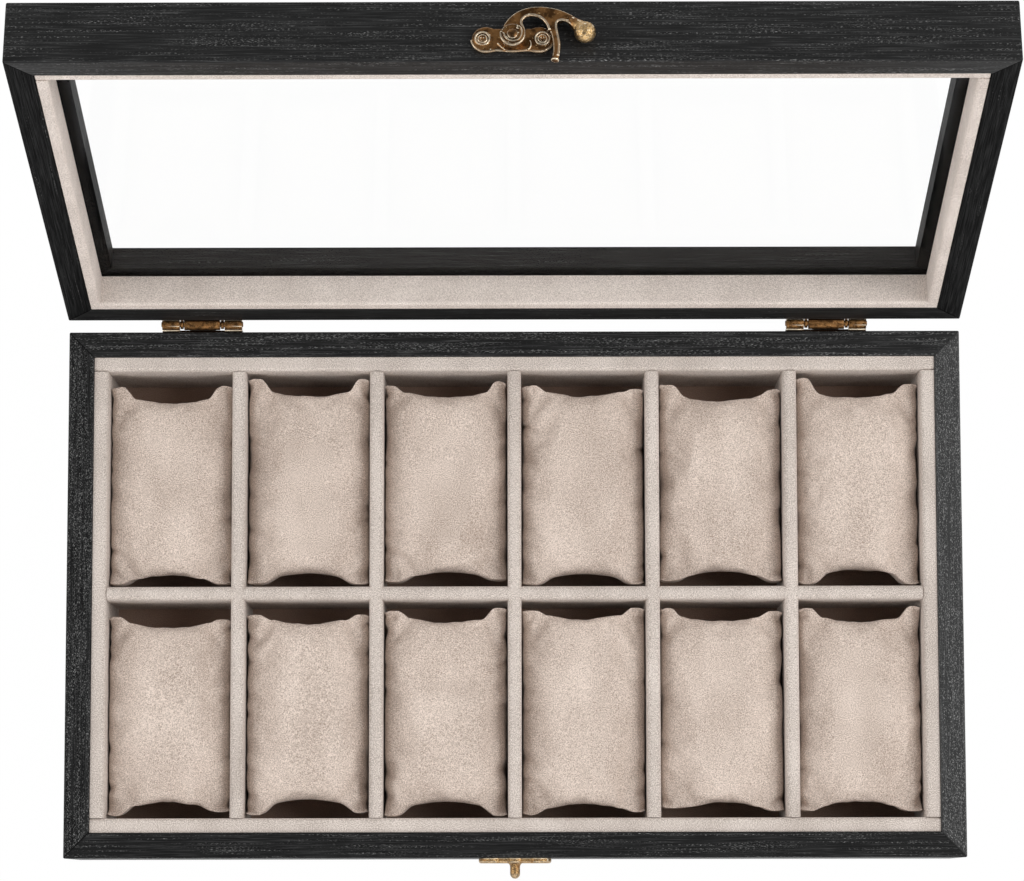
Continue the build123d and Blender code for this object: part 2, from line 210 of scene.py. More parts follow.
def studio_world():
    """A white room that is brighter at the sides than overhead, plain white to the camera."""
    world = bpy.data.worlds.new("studio")
    bpy.context.scene.world = world
    world.use_nodes = True
    tree = world.node_tree
    background = tree.nodes["Background"]
    background.inputs["Color"].default_value = (1.0, 1.0, 1.0, 1.0)
    direction = tree.nodes.new("ShaderNodeSeparateXYZ")
    tree.links.new(tree.nodes.new("ShaderNodeTexCoord").outputs["Generated"], direction.inputs[0])
    overhead = tree.nodes.new("ShaderNodeMapRange")
    overhead.inputs["From Min"].default_value = high_from
    overhead.inputs["From Max"].default_value = high_to
    overhead.inputs["To Min"].default_value = room_low_light
    overhead.inputs["To Max"].default_value = room_high_light
    tree.links.new(direction.outputs["Z"], overhead.inputs["Value"])
    seen = tree.nodes.new("ShaderNodeMath")
    seen.operation = "MAXIMUM"
    path = tree.nodes.new("ShaderNodeLightPath")
    tree.links.new(path.outputs["Is Camera Ray"], seen.inputs[0])
    tree.links.new(overhead.outputs["Result"], seen.inputs[1])
    tree.links.new(seen.outputs[0], background.inputs["Strength"])


def soft_box(name, place, size, power):
    """A rectangular soft lamp that faces the box."""
    lamp = bpy.data.lights.new(name, "AREA")
    lamp.shape = "RECTANGLE"
    lamp.size, lamp.size_y = size
    lamp.energy = power
    holder = bpy.data.objects.new(name, lamp)
    holder.location = place
    holder.rotation_euler = (place - aim).to_track_quat("Z", "Y").to_euler()
    bpy.context.scene.collection.objects.link(holder)


studio_world()
for lamp_name, (place, size, power) in lamps.items():
    soft_box(lamp_name, place, size, power)
bpy.context.scene.view_settings.view_transform = "Standard"
print("soft lamps:", len(lamps))

# %% [markdown]
# ## Building finishes from nodes
#
# Every finish is worked out from the surface's own place in space, so no image is needed
# and a pattern runs on round a corner as it does on a real board. A few helpers keep the
# node trees short: one starts a finish, one adds a node with its values, one brings the
# Object coordinates back to the closed lid, and one makes noise with flecks of a given
# size.

# %% Helpers for node trees
def start_finish(name):
    """A new material, its node tree and its shader."""
    material = bpy.data.materials.new(name)
    material.use_nodes = True
    return material, material.node_tree, material.node_tree.nodes["Principled BSDF"]


def set_inputs(node, values):
    """Set the inputs of a node by their names."""
    for name, value in values.items():
        node.inputs[name].default_value = value


def add_node(tree, kind, **values):
    """Add a node and set the named inputs, with underscores standing for spaces."""
    node = tree.nodes.new(kind)
    set_inputs(node, {name.replace("_", " "): value for name, value in values.items()})
    return node


def object_place(tree, on_lid=False):
    """Where a point lies in the box's frame, with the lid closed if the piece is on the lid."""
    place = tree.nodes.new("ShaderNodeTexCoord").outputs["Object"]
    if not on_lid:
        return place
    closing = add_node(
        tree, "ShaderNodeMapping", Location=close_lid.translation, Rotation=close_lid.to_euler()
    )
    tree.links.new(place, closing.inputs["Vector"])
    return closing.outputs["Vector"]


# %% Helpers for patterns and colours
def clouds(tree, place, size, shift=(0.0, 0.0, 0.0), detail=2.0, roughness=0.5):
    """Soft noise between nought and one, its flecks of one size or of three for X, Y and Z."""
    sizes = [size] * 3 if isinstance(size, float) else size
    scaled = add_node(
        tree, "ShaderNodeMapping", Location=shift, Scale=[1.0 / length for length in sizes]
    )
    tree.links.new(place, scaled.inputs["Vector"])
    texture = add_node(tree, "ShaderNodeTexNoise", Scale=1.0, Detail=detail, Roughness=roughness)
    tree.links.new(scaled.outputs["Vector"], texture.inputs["Vector"])
    return texture.outputs["Fac"]


def between(tree, value, low, high, out_low=0.0, out_high=1.0):
    """Nought below low, one above high and smooth between them, or other ends if given."""
    node = tree.nodes.new("ShaderNodeMapRange")
    node.interpolation_type = "SMOOTHSTEP"
    set_inputs(node, {"From Min": low, "From Max": high, "To Min": out_low, "To Max": out_high})
    tree.links.new(value, node.inputs["Value"])
    return node.outputs["Result"]


def calculate(tree, operation, first, second=None):
    """A Math node: each value is a socket or a number."""
    node = tree.nodes.new("ShaderNodeMath")
    node.operation = operation
    for socket, value in zip(node.inputs, (first, second)):
        if isinstance(value, (int, float)):
            socket.default_value = value
        elif value is not None:
            tree.links.new(value, socket)
    return node.outputs[0]


def mixed(tree, share, first, second):
    """Blend two colours, each a socket or three numbers."""
    node = tree.nodes.new("ShaderNodeMix")
    node.data_type = "RGBA"
    # The Mix node has sockets A, B and Result for every kind of value: these are the colours'.
    colour_a, colour_b, colour_result = node.inputs[6], node.inputs[7], node.outputs[2]
    tree.links.new(share, node.inputs["Factor"])
    for socket, colour in zip((colour_a, colour_b), (first, second)):
        if isinstance(colour, tuple):
            socket.default_value = (*colour, 1.0)
        else:
            tree.links.new(colour, socket)
    return colour_result


def relief(tree, shader, height, depth, strength=1.0):
    """Let a height pattern, depth metres deep, catch the light."""
    node = add_node(tree, "ShaderNodeBump", Distance=depth, Strength=strength)
    tree.links.new(height, node.inputs["Height"])
    tree.links.new(node.outputs["Normal"], shader.inputs["Normal"])


# %% [markdown]
# ## Black open-pored veneer
#
# Stained ash or oak keeps its pores: fine grooves that run with the grain and catch a
# little light, over slow dark and light bands. So three noises are stretched along the
# board: bands, fibres, and short pores that are switched on only in some bands. The palest
# fibres show as grey streaks. Each board is cut from its own leaf of veneer, so a table
# says how long its pores are, how many of them are open, how strong its streaks are and
# how much it shines. The share of open pores and of streaks is partly painted light, raised
# on the boards that catch more light and lowered on those in shade.
#
# The grain of each board runs along its own length, and the boards of the lid are read in
# the closed frame, so their grain turns with them. The mitre shows as a thin dark line,
# which lies equally far from the end of the box and from its front or back.

# %% Veneer
case_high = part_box("case_right_wall")[1]
half_width, half_depth = case_high.x, case_high.y
band_size = (45 * MM, 1.1 * MM)
fibre_size = (14 * MM, 0.24 * MM)
pore_width = 0.20 * MM
wood_dark, wood_light = (0.0045, 0.0046, 0.0047), (0.0165, 0.0167, 0.0169)
streak_colour, pore_colour = (0.090, 0.090, 0.090), (0.25, 0.25, 0.247)
mitre_colour = (0.002, 0.002, 0.002)
light_fibres, streak_fibres = (0.38, 0.62), (0.57, 0.72)
open_bands, more_open = (0.54, 0.80), 0.2
pore_steps = (0.56, 0.71)
fibre_gloss = (0.3, 0.7, 0.50, 0.38)
pore_depth = 0.7
mitre_core, mitre_width = 0.4, 0.45 * MM
wood_relief = 0.03 * MM
leaf_step = 3.7


def along_board(tree, place, axis, size, shifts, detail):
    """Noise whose flecks have a length with the grain and a width across it."""
    length, width = size
    sizes = [length if axis == number else width for number in range(3)]
    return clouds(tree, place, sizes, shifts, detail)


def mitre_line(tree, place):
    """One on the mitre between two boards and nought away from it."""
    parts = tree.nodes.new("ShaderNodeSeparateXYZ")
    tree.links.new(place, parts.inputs[0])
    across = calculate(tree, "ABSOLUTE", parts.outputs["X"])
    deep = calculate(tree, "ABSOLUTE", parts.outputs["Y"])
    apart = calculate(tree, "SUBTRACT", across, deep)
    off = calculate(tree, "ABSOLUTE", calculate(tree, "SUBTRACT", apart, half_width - half_depth))
    return between(tree, off, mitre_core * mitre_width, mitre_width, 1.0, 0.0)


def wood_finish(name, shift, axis, on_lid, pore_length, porous_and_painted_light, streaky_and_painted_light, gloss):
    """Black veneer with its grain along X (0) or Y (1)."""
    material, tree, shader = start_finish(name)
    place = object_place(tree, on_lid)
    shifts = (shift, 2.0 * shift, 3.0 * shift)
    band = along_board(tree, place, axis, band_size, shifts, 3)
    fibre = along_board(tree, place, axis, fibre_size, shifts, 3)
    pore = along_board(tree, place, axis, (pore_length * MM, pore_width), shifts, 1)
    opened = between(tree, band, *(step - more_open * porous_and_painted_light for step in open_bands))
    pores = calculate(tree, "MULTIPLY", between(tree, pore, *pore_steps), opened)
    tone = mixed(tree, between(tree, fibre, *light_fibres), wood_dark, wood_light)
    streaks = between(tree, fibre, *streak_fibres, 0.0, streaky_and_painted_light)
    streaked = mixed(tree, streaks, tone, streak_colour)
    specked = mixed(tree, pores, streaked, pore_colour)
    colour = mixed(tree, mitre_line(tree, place), specked, mitre_colour)
    tree.links.new(colour, shader.inputs["Base Color"])
    tree.links.new(between(tree, fibre, *fibre_gloss), shader.inputs["Roughness"])
    shader.inputs["Specular IOR Level"].default_value = gloss
    grooves = calculate(tree, "SUBTRACT", fibre, calculate(tree, "MULTIPLY", pores, pore_depth))
    relief(tree, shader, grooves, wood_relief)
    return material


# Pores and streaks are partly painted light: more where a board catches more light, fewer where
# it is in shade.
board_finishes = {
    # grain axis, on the lid, pore length in mm, how porous and how streaky (both partly painted
    # light), gloss
    "case_front_wall": (0, False, 1.0, 0.45, 0.5, 0.14),
    "case_back_wall": (0, False, 1.15, 0.75, 0.75, 0.19),
    "case_left_wall": (1, False, 0.6, 1.1, 0.35, 0.10),
    "case_right_wall": (1, False, 0.6, 1.5, 0.7, 0.46),
    "lid_front_rail": (0, True, 1.1, 0.5, 0.5, 0.23),
    "lid_back_rail": (0, True, 1.3, 0.0, 0.4, 0.20),
    "lid_left_rail": (1, True, 1.2, -0.2, 0.15, 0.01),
    "lid_right_rail": (1, True, 1.2, -0.2, 0.15, 0.01),
}
for number, (board, facts) in enumerate(board_finishes.items(), 1):
    shift = leaf_step * number
    nodes[board].data.materials[0] = wood_finish(f"veneer_{board}", shift, *facts)
print("veneered boards:", len(board_finishes))

# %% [markdown]
# ## Suede, felt and glass
#
# Microsuede is a very fine nap. It has no weave to see, only specks less than half a
# millimetre across and slow cloudy strokes where a hand has brushed it, and its edges glow
# a little, which is what Sheen is for. One finish serves all of it: the pillows are a touch
# pinker than the boards, the lining of the lid is painted paler as painted light, and the
# floor of the bays is painted browner and darker as painted shade, because it lies deep in
# shade. The felt under the box is black, and the window is plain clear glass.

# %% Suede
speck_size, nap_size = 0.40 * MM, 0.30 * MM
stroke_size = (16 * MM, 30 * MM, 16 * MM)
speck_share, stroke_share = 0.78, 0.22
tone_steps = (0.28, 0.72)
nap_roughness, nap_depth, nap_strength = 0.7, 0.12 * MM, 0.9
speck_height = 1.6
suede_shader = {
    "Roughness": 0.95, "Specular IOR Level": 0.15, "Sheen Weight": 0.25,
    "Sheen Roughness": 0.45, "Sheen Tint": (1.0, 0.95, 0.91, 1.0),
}
suede_colours = {
    # darkest and lightest
    "board": ((0.36, 0.30, 0.26), (0.85, 0.765, 0.70)),
    # painted light: the lid's lining is paler than the boards, to brighten it
    "lid": ((0.50, 0.425, 0.375), (0.97, 0.87, 0.80)),
    # painted shade: the bay floor is browner and darker, standing in for the deep shade there
    "floor": ((0.42, 0.28, 0.215), (0.58, 0.42, 0.34)),
    "pillow": ((0.345, 0.265, 0.215), (0.88, 0.755, 0.67)),
}


def suede_finish(name, low, high, shift=0.0):
    """Brushed nap with specks, slow strokes and a soft glow at its edges."""
    material, tree, shader = start_finish(name)
    place = object_place(tree)
    shifts = (shift, shift, shift)
    speck = clouds(tree, place, speck_size, shifts)
    stroke = clouds(tree, place, stroke_size, shifts, detail=3)
    nap = clouds(tree, place, nap_size, shifts, roughness=nap_roughness)
    specks = calculate(tree, "MULTIPLY", speck, speck_share)
    strokes = calculate(tree, "MULTIPLY", stroke, stroke_share)
    tone = between(tree, calculate(tree, "ADD", specks, strokes), *tone_steps)
    tree.links.new(mixed(tree, tone, low, high), shader.inputs["Base Color"])
    set_inputs(shader, suede_shader)
    height = calculate(tree, "ADD", nap, calculate(tree, "MULTIPLY", speck, speck_height))
    relief(tree, shader, height, nap_depth, nap_strength)
    return material


board_suede = suede_finish("suede_on_board", *suede_colours["board"])
# The lid's lining gets paler suede as painted light.
lid_suede_painted_light = suede_finish("suede_in_lid_painted_light", *suede_colours["lid"])
# The bay floor gets browner, darker suede as painted shade.
floor_suede_painted_shade = suede_finish("suede_on_floor_painted_shade", *suede_colours["floor"])
covered_nodes = [name for name in nodes if "lining" in name or "divider" in name]
for name in covered_nodes:
    nodes[name].data.materials[0] = lid_suede_painted_light if name.startswith("lid") else board_suede
nodes["floor_lining"].data.materials[0] = floor_suede_painted_shade
print("suede-covered boards:", len(covered_nodes))

# %% Felt, panel and glass
felt_dark, felt_light = (0.012, 0.012, 0.012), (0.04, 0.04, 0.04)
panel_dark, panel_light = (0.02, 0.02, 0.02), (0.035, 0.035, 0.034)
fleck_steps, fleck_roughness = (0.35, 0.65), 0.65
glass_shader = {
    "Base Color": (0.997, 1.0, 0.998, 1.0), "Roughness": 0.0, "IOR": 1.08,
    "Transmission Weight": 1.0,
}


def matted_finish(name, dark, light, size, roughness, depth):
    """A plain matt surface with fine clouding, for felt and painted board."""
    material, tree, shader = start_finish(name)
    fleck = clouds(tree, object_place(tree), size, detail=4, roughness=fleck_roughness)
    tone = between(tree, fleck, *fleck_steps)
    tree.links.new(mixed(tree, tone, dark, light), shader.inputs["Base Color"])
    shader.inputs["Roughness"].default_value = roughness
    relief(tree, shader, fleck, depth)
    return material


def glass_finish():
    """Clear window glass."""
    material, tree, shader = start_finish("window_glass")
    set_inputs(shader, glass_shader)
    return material


flat_finishes = {
    "base_felt": matted_finish(
        "black_felt", felt_dark, felt_light, size=0.6 * MM, roughness=0.98, depth=0.2 * MM
    ),
    "bottom_panel": matted_finish(
        "black_panel", panel_dark, panel_light, size=1.5 * MM, roughness=0.7, depth=0.05 * MM
    ),
    "glass_pane": glass_finish(),
}
for name, finish in flat_finishes.items():
    nodes[name].data.materials[0] = finish
print("felt, panel and glass finished")

# %% [markdown]
# ## Antique bronze
#
# Antiqued brass is plated dark and then rubbed, so it stays nearly black in hollows, is
# brown and blotchy on its faces, and shines pale gold along every edge that a cloth can
# reach. Pointiness, which tells how sharply a surface bends outwards, finds those edges.
# The cloth has also reached the ball of the hook. The leaves of the hinges are painted
# black beyond the barrel that is rolled round the pin: painted shade, for the shadow where
# the leaves lie against the wood.

# %% Antique bronze
# Near black: real patina in the hollows, and painted shade on the hinge leaves.
bronze_patina_and_shade = (0.018, 0.009, 0.004)
bronze_dark = (0.075, 0.036, 0.014)
bronze_mid = (0.25, 0.125, 0.046)
bronze_gold = (0.62, 0.42, 0.20)
bronze_bright = (0.98, 0.86, 0.66)
blotch_steps, gold_steps = (0.40, 0.58), (0.62, 0.80)
hollow_steps = (0.44, 0.485)
grit_parts, grit_gloss = 5, (0.3, 0.7, 0.28, 0.50)
ball_reach, ball_flecks = (0.9, 1.5), (0.30, 0.60, 0.55, 1.0)
barrel_radius = 2.2 * MM
# Painted shade on the hinge leaves begins this far beyond the barrel.
leaf_shade_from, leaf_shade_to = 0.1 * MM, 0.5 * MM


def vector_maths(tree, operation, vector):
    """A node that measures a vector."""
    node = tree.nodes.new("ShaderNodeVectorMath")
    node.operation = operation
    tree.links.new(vector, node.inputs[0])
    return node


def rub_ball(tree, place, grit, colour, centre, radius):
    """Gold in flecks over the ball, and the given colour away from it."""
    away = vector_maths(tree, "DISTANCE", place)
    away.inputs[1].default_value = centre
    near, far = (reach * radius for reach in ball_reach)
    on_ball = between(tree, away.outputs["Value"], near, far, 1.0, 0.0)
    flecks = between(tree, grit, *ball_flecks)
    return mixed(tree, calculate(tree, "MULTIPLY", on_ball, flecks), colour, bronze_gold)


def paint_leaf_shade(tree, place, colour):
    """Painted shade: black beyond the hinge's barrel, and the given colour on it."""
    to_pin = add_node(
        tree, "ShaderNodeMapping",
        Location=(0.0, -hinge_point.y, -hinge_point.z), Scale=(0.0, 1.0, 1.0),
    )
    tree.links.new(place, to_pin.inputs["Vector"])
    away = vector_maths(tree, "LENGTH", to_pin.outputs["Vector"])
    leaf = between(
        tree, away.outputs["Value"], barrel_radius + leaf_shade_from, barrel_radius + leaf_shade_to
    )
    return mixed(tree, leaf, colour, bronze_patina_and_shade)


def bronze_finish(name, mottle, depth, edge_steps, gold_share=0.0, ball=None, leaf=False):
    """Plated bronze, dark in its hollows, brown on its faces and rubbed bright on its edges."""
    material, tree, shader = start_finish(name)
    place = object_place(tree)
    patch = clouds(tree, place, mottle, detail=4, roughness=0.62)
    grit = clouds(tree, place, mottle / grit_parts, roughness=0.6)
    bend = tree.nodes.new("ShaderNodeNewGeometry").outputs["Pointiness"]
    aged = mixed(tree, between(tree, patch, *blotch_steps), bronze_dark, bronze_mid)
    gold = between(tree, grit, *(step - gold_share for step in gold_steps))
    worn = mixed(tree, gold, aged, bronze_gold)
    colour = mixed(tree, between(tree, bend, *hollow_steps, 1.0, 0.0), worn, bronze_patina_and_shade)
    if ball:
        colour = rub_ball(tree, place, grit, colour, *ball)
    colour = mixed(tree, between(tree, bend, *edge_steps), colour, bronze_bright)
    # Painted shade: the hinge leaves beyond the barrel are painted black.
    if leaf:
        colour = paint_leaf_shade(tree, place, colour)
    tree.links.new(colour, shader.inputs["Base Color"])
    shader.inputs["Metallic"].default_value = 1.0
    tree.links.new(between(tree, grit, *grit_gloss), shader.inputs["Roughness"])
    relief(tree, shader, calculate(tree, "ADD", grit, patch), depth)
    return material


rolled = {"mottle": 1.6 * MM, "depth": 0.10 * MM, "edge_steps": (0.56, 0.66), "gold_share": 0.03}
rolled_bronze = bronze_finish("rolled_bronze", **rolled)
# The hinge leaves get painted shade beyond the barrel.
hinge_bronze_painted_shade = bronze_finish("hinge_bronze_painted_shade", **rolled, leaf=True)
print("rolled bronze for hinges and screws")

# %% [markdown]
# ## Small metal: copies with softened edges
#
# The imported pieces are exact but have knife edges, and metal without a small round on its
# edges never looks real, because that round is what catches the light. Rolled and turned
# pieces, such as the hinges, pins and screws, get a bevelled copy. Cast pieces, such as the
# hook and its plates, are softer all over, so their copy is rebuilt from small cubes of
# equal size and smoothed, much as a casting comes out of its mould.

# %% A copy, and what it stands for
weld_distance = 0.002 * MM


def merged_copy(node):
    """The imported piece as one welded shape."""
    shape = bmesh.new()
    shape.from_mesh(nodes[node].data)
    bmesh.ops.remove_doubles(shape, verts=shape.verts, dist=weld_distance)
    return shape


def dressed(piece, node, finish):
    """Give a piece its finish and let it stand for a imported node, on that node's body."""
    piece.data.materials.clear()
    piece.data.materials.append(finish)
    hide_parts(node)
    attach(piece, nodes[node]["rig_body"])
    return piece


# %% A copy with bevelled edges
flat_limit, edge_limit = math.radians(1.0), math.radians(35.0)


def eased(shape, width):
    """Put a small round on every sharp edge."""
    bmesh.ops.dissolve_limit(shape, angle_limit=flat_limit, verts=shape.verts, edges=shape.edges)
    paired = [edge for edge in shape.edges if len(edge.link_faces) == 2]
    bmesh.ops.bevel(
        shape, geom=[edge for edge in paired if edge.calc_face_angle() > edge_limit],
        offset=width, offset_type="OFFSET", affect="EDGES", segments=2, profile=0.5,
        material=-1, clamp_overlap=True,
    )
    return shape


def bevelled_copy(node, width, additions=()):
    """A copy of a rolled or turned piece, with what is added to it, and softened edges."""
    shape = merged_copy(node)
    for mesh in additions:
        shape.from_mesh(mesh)
    shape = eased(shape, width)
    piece = new_object(f"{node}_finished", made_mesh(f"{node}_finished", shape))
    piece.data.shade_smooth()
    piece.data.set_sharp_from_angle(angle=edge_limit)
    return piece


# %% A copy cast anew
finer_cube, finer_rounds = 0.8, 2


def as_modified(thing):
    """The mesh of an object or a curve with its modifiers made real."""
    graph = bpy.context.evaluated_depsgraph_get()
    return bpy.data.meshes.new_from_object(thing.evaluated_get(graph))


def recast(piece, cube, rounds):
    """Rebuild a piece from small cubes of one size and smooth it."""
    rebuilt = piece.modifiers.new("rebuilt", "REMESH")
    rebuilt.mode = "VOXEL"
    rebuilt.voxel_size = cube
    smoothed = piece.modifiers.new("smoothed", "SMOOTH")
    smoothed.factor = 0.5
    smoothed.iterations = rounds
    mesh = as_modified(piece)
    piece.modifiers.clear()
    piece.data = mesh
    return piece


def cast_copy(node, cube, rounds, lumps, threads):
    """A copy melted together with lumps and well smoothed, then given crisp raised threads."""
    name = f"{node}_cast"
    shape = merged_copy(node)
    for mesh in lumps:
        shape.from_mesh(mesh)
    piece = recast(new_object(name, made_mesh(name, shape)), cube, rounds)
    if threads:
        shape = bmesh.new()
        for mesh in (piece.data, *threads):
            shape.from_mesh(mesh)
        piece.data = made_mesh(name, shape)
        recast(piece, finer_cube * cube, finer_rounds)
    piece.data.shade_smooth()
    return piece


def cone(start, end, radius_start, radius_end):
    """A solid cone or cylinder between two places, as a mesh."""
    run = end - start
    turn = run.to_track_quat("Z", "Y").to_matrix().to_4x4()
    shape = bmesh.new()
    bmesh.ops.create_cone(
        shape, cap_ends=True, cap_tris=False, segments=32,
        radius1=radius_start, radius2=radius_end, depth=run.length,
        matrix=Matrix.Translation((start + end) / 2) @ turn,
    )
    return made_mesh("cone", shape)


# %% [markdown]
# ## Hinges and their screws
#
# Each hinge has two leaves whose knuckles are rolled round a pin. Small gaps show between
# the knuckles, and in each a collar thickens the pin. Every edge is rolled or turned, so
# one bevel serves them all, a little finer on the screws. The screws of the catch are made
# here too, because they are like the hinges' own.

# %% Hinges, pins and screws
hinge_edge, screw_edge = 0.14 * MM, 0.10 * MM
collar_offset, collar_width, collar_radius = 7.7 * MM, 1.1 * MM, 1.75 * MM


def pin_collars(node):
    """Two small collars that fill the gaps between the knuckles."""
    low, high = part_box(node)
    middle = (low + high) / 2
    half = Vector((collar_width / 2, 0.0, 0.0))
    places = [middle + Vector((side * collar_offset, 0.0, 0.0)) for side in (-1, 1)]
    return [cone(place - half, place + half, collar_radius, collar_radius) for place in places]


for node in [name for name in nodes if "hinge" in name]:
    width = screw_edge if "screws" in node else hinge_edge
    finish = hinge_bronze_painted_shade if "leaf" in node else rolled_bronze
    collars = pin_collars(node) if "pin" in node else ()
    dressed(bevelled_copy(node, width, collars), node, finish)
dressed(bevelled_copy("catch_screws", screw_edge), "catch_screws", rolled_bronze)

# %% [markdown]
# ## The hook and its plates
#
# The hook is cast: a crescent with a finger that closes round the stud, a ball to push it
# by, which has been peened all over, and a boss round the rivet with a raised rim and a
# scroll. The neck of the ball and the bead on the finger are cones, laid into the packed
# shape before it is rebuilt, so that they melt into it. The rims and the scroll are
# threads, drawn as curves and made meshes. They are laid on after that and rebuilt with a
# finer cube, so that they stay crisp.
#
# Places on the clasp are counted in millimetres from the rivet: to the right, up the face
# of the lid, and out of it.

# %% Laying out the clasp
def smooth_step(value, low, high):
    """Nought at low, one at high or beyond it and smooth between them."""
    share = min(max((value - low) / (high - low), 0.0), 1.0)
    return share * share * (3.0 - 2.0 * share)


hook_joint = joints["hook_swing"]
face_out = Vector(hook_joint["axis"])
face_right = Vector((1.0, 0.0, 0.0))
face_up = face_out.cross(face_right)
face_turn = Matrix((face_right, face_up, face_out)).transposed().to_4x4()
lid_face = Matrix.Translation(Vector(hook_joint["pos_m"])) @ face_turn
turn_steps = 40


def on_face(right, up, out):
    """A place on the lid's front face, in millimetres from the rivet."""
    return lid_face @ Vector((right * MM, up * MM, out * MM))


def turn_points(first, last, radius_from, radius_to, out, centre=(0.0, 0.0)):
    """Places along a turn round a centre, from one angle to another, drawing in or out."""
    points = []
    for step in range(turn_steps + 1):
        share = step / turn_steps
        angle = math.radians(first + (last - first) * share)
        radius = radius_from + (radius_to - radius_from) * share
        right, up = centre[0] + radius * math.cos(angle), centre[1] + radius * math.sin(angle)
        points.append(on_face(right, up, out))
    return points


def face_points(places, out):
    """Places on the clasp that all lie equally far out."""
    return [on_face(right, up, out) for right, up in places]


def thread(points, thick_from, thick_to, closed=False):
    """A round thread that runs smoothly along some places and thins on its way, as a mesh."""
    curve = bpy.data.curves.new("thread", "CURVE")
    curve.dimensions = "3D"
    curve.bevel_depth = MM
    curve.bevel_resolution = 3
    curve.use_fill_caps = True
    spline = curve.splines.new("NURBS")
    spline.points.add(len(points) - 1)
    for number, (spot, place) in enumerate(zip(spline.points, points)):
        spot.co = (*place, 1.0)
        spot.radius = thick_from + (thick_to - thick_from) * number / (len(points) - 1)
    spline.order_u = min(4, len(points))
    spline.use_endpoint_u = not closed
    spline.use_cyclic_u = closed
    holder = new_object("thread", curve)
    mesh = as_modified(holder)
    bpy.data.objects.remove(holder)
    return mesh


print("rivet at", tuple(round(value, 4) for value in lid_face.translation))

# %% [markdown]
# ## Rims, ridges, rings and the scroll
#
# What makes a small casting read as one is its raised line work: a rim follows the edge of
# the boss and the arm, a scroll curls over the boss, ridges and rings mark the plate and
# its screws. Each line is a row of places read off the face of the clasp, with a thickness
# at its start and at its end.

# %% Raised details
neck = cone(on_face(18.8, 6.7, 3.35), on_face(23.9, 2.0, 3.9), 1.35 * MM, 2.9 * MM)
finger_bead = cone(on_face(14.6, -6.0, 3.4), on_face(14.1, -9.3, 3.4), 0.8 * MM, 1.5 * MM)
inner_edge = [
    (3.95, 1.2), (3.35, 3.3), (2.75, 4.7), (3.2, 6.1), (4.6, 7.35), (6.3, 7.75), (8.2, 7.4),
    (9.9, 6.4), (11.2, 5.0), (12.0, 3.4), (12.4, 1.8),
]
outer_edge = [
    (20.9, 2.2), (20.3, 3.6), (18.9, 5.05), (16.8, 5.9), (15.1, 5.5), (14.3, 4.2),
    (14.6, 1.6), (15.3, -1.6), (15.6, -4.6), (15.1, -8.0),
]
scroll_line = [
    (-3.1, 0.4), (-2.5, -1.3), (-1.1, -2.6), (0.7, -2.85), (2.3, -2.15), (3.1, -0.6),
    (3.2, 1.0), (2.8, 2.4), (2.0, 2.8), (1.5, 2.5), (1.8, 2.0), (2.3, 2.1),
]
plate_edge = [
    (-13.6, -0.4), (-13.2, -2.1), (-11.9, -3.7), (-10.0, -4.55), (-7.8, -4.5), (-6.2, -4.1),
    (-4.6, -4.0), (-1.8, -4.3), (0.0, -4.45), (2.0, -4.3), (4.6, -4.0), (6.2, -4.1),
    (7.8, -4.5), (10.0, -4.55), (11.9, -3.7), (13.2, -2.1), (13.6, -0.4),
]
left_line = [(-4.9, -1.8), (-4.2, -2.8), (-3.3, -3.6), (-2.6, -4.2)]
right_line = [(5.3, -4.1), (6.3, -3.0), (6.4, -1.9), (5.8, -0.8)]
plate_top, rim_out, arm_out, boss_rim_out, boss_top = 2.0, 1.5, 4.5, 4.95, 5.15
screw_offset = 10.0

boss_turn = turn_points(165, 350, 3.75, 3.85, boss_rim_out)
boss_rim = thread(boss_turn + face_points(inner_edge, arm_out), 0.58, 0.52)
arm_rim = thread(face_points(outer_edge, arm_out), 0.46, 0.52)
scroll = thread(face_points(scroll_line, boss_top), 0.48, 0.38)
plate_rim = thread(face_points(plate_edge, rim_out), 0.55, 0.55)
left_ridge = thread(face_points(left_line, plate_top), 0.34, 0.30)
right_ridge = thread(face_points(right_line, plate_top), 0.34, 0.26)


def screw_rings(radius, thick):
    """A raised ring round each of the two screws."""
    centres = [(side * screw_offset, 0.0) for side in (-1, 1)]
    turns = [turn_points(0, 345, radius, radius, plate_top, centre) for centre in centres]
    return [thread(turn, thick, thick, closed=True) for turn in turns]


print("raised details: a neck, a bead, rims, a scroll, ridges and screw rings")

# %% [markdown]
# ## Casting the clasp and the catch
#
# Peening leaves round dents side by side, and the distance to the nearest of many scattered
# points gives just that. The hook swings close over the heads of the screws, so its copy is
# hollowed a little underneath where it passes them.

# %% Cast pieces
cast_cube = 0.20 * MM
ball_centre, ball_radius = on_face(24.2, 1.2, 4.1), 3.6 * MM
peen_size, peen_depth = 0.8 * MM, 0.16 * MM
peen_reach, peen_level = 1.08, 0.3
hook_under, hollow_depth = 2.15, 0.35
hollow_begins, hollow_ends = (4.0, 4.6), (13.8, 14.8)
cast_bronze = bronze_finish(
    "cast_bronze", 4.0 * MM, 0.05 * MM, (0.508, 0.540), ball=(ball_centre, ball_radius)
)
catch_bronze = bronze_finish("catch_bronze", 1.6 * MM, 0.10 * MM, (0.505, 0.540), 0.17)


def peen(piece, centre, radius):
    """Dent a ball all over with small round hammer marks."""
    for vert in piece.data.vertices:
        out = vert.co - centre
        if out.length < peen_reach * radius:
            nearest = noise.voronoi(vert.co / peen_size)[0][0]
            vert.co += out.normalized() * (nearest ** 2 - peen_level) * peen_depth


